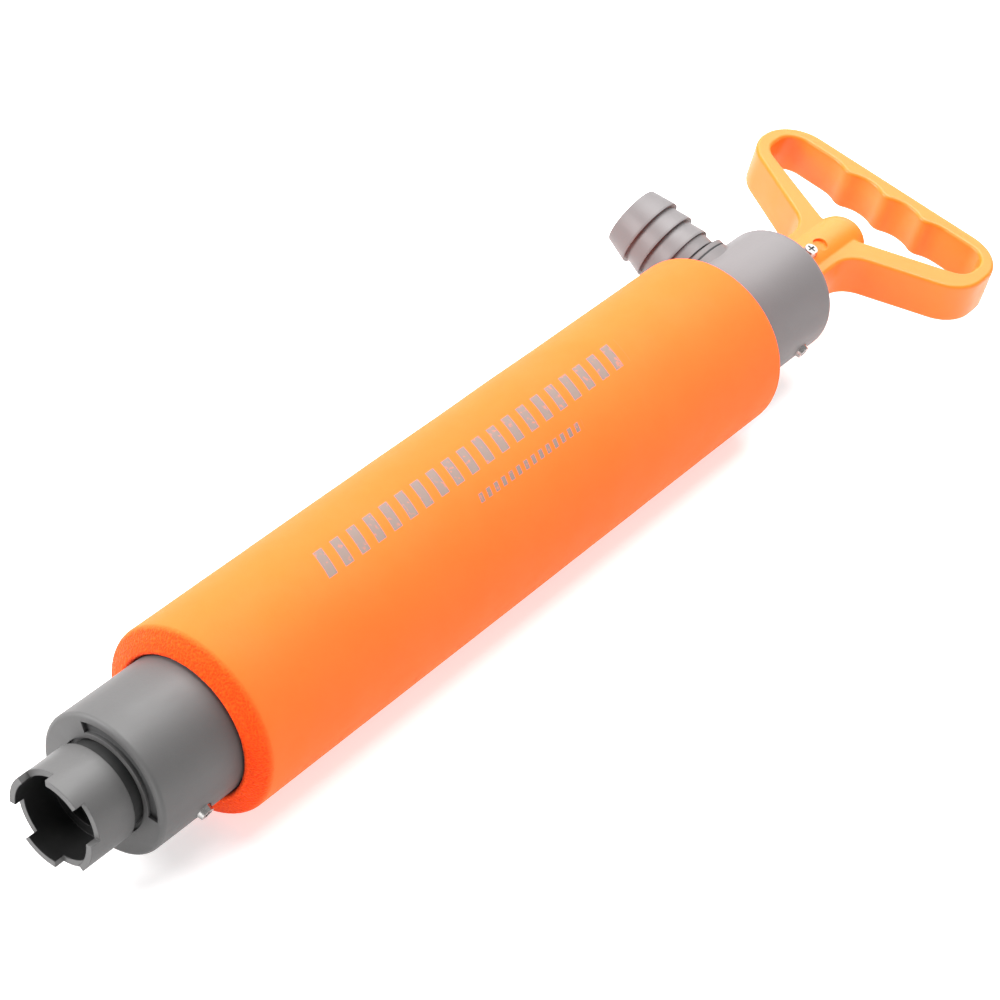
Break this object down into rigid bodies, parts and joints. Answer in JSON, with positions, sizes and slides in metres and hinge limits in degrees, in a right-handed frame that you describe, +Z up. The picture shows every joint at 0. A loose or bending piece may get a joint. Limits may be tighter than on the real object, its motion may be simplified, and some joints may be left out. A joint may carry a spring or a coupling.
{
  "type": "manual bilge pump",
  "caption": "Hand bilge pump with a foam sleeve float, a castellated inlet nozzle, an angled barbed spout and a D handle with finger grips on a sliding rod.",
  "frame": {"origin": "on the narrow flat that the float rests on, straight under the barrel axis at the middle of the float", "axes": "+Y along the barrel from the inlet to the handle, +Z up from the resting surface, +X to the right when looking along +Y, so the spout leans to -X and up"},
  "size_m": [0.1239, 0.528, 0.0784],
  "materials": {
    "float_foam": "matte",
    "handle_plastic": "satin",
    "cap_plastic": "satin",
    "tube_plastic": "satin",
    "inner_plastic": "satin",
    "rubber": "matte",
    "screw_steel": "polished",
    "rod_aluminium": "satin"
  },
  "bodies": {
    "barrel": {"barrel_tube": "tube_plastic", "foam_float": "float_foam", "foot_cap": "cap_plastic", "inlet_nozzle": "cap_plastic", "foot_cap_seal": "rubber", "foot_valve_seat": "inner_plastic", "foot_cap_screws": "screw_steel", "head_cap": "cap_plastic", "head_cap_seal": "rubber", "head_cap_screws": "screw_steel", "rod_bush": "inner_plastic", "rod_seal": "rubber", "gland_ring": "cap_plastic", "spout": "cap_plastic", "spout_gasket": "rubber"},
    "piston": {"piston_body": "inner_plastic", "piston_seal": "rubber", "piston_spacer": "inner_plastic"},
    "plunger": {"piston_rod": "rod_aluminium", "rod_lower_plug": "inner_plastic", "rod_upper_plug": "inner_plastic", "piston_bolt": "screw_steel", "bolt_washer": "screw_steel", "handle": "handle_plastic", "handle_screw": "screw_steel"},
    "foot_valve": {"foot_valve_disc": "rubber", "foot_valve_clip": "screw_steel"},
    "piston_valve": {"piston_valve_disc": "rubber"}
  },
  "joints": [
    {"name": "rod_slide", "type": "slide", "parent": "barrel", "child": "piston", "axis": [0, 1, 0], "range_m": [0, 0.3]},
    {"name": "handle_turn", "type": "hinge", "parent": "piston", "child": "plunger", "pos_m": [0, 0, 0.0376], "axis": [0, 1, 0], "continuous": true},
    {"name": "foot_valve_lift", "type": "slide", "parent": "barrel", "child": "foot_valve", "axis": [0, 1, 0], "range_m": [0, 0.0029]},
    {"name": "piston_valve_lift", "type": "slide", "parent": "piston", "child": "piston_valve", "axis": [0, 1, 0], "range_m": [0, 0.003]}
  ]
}
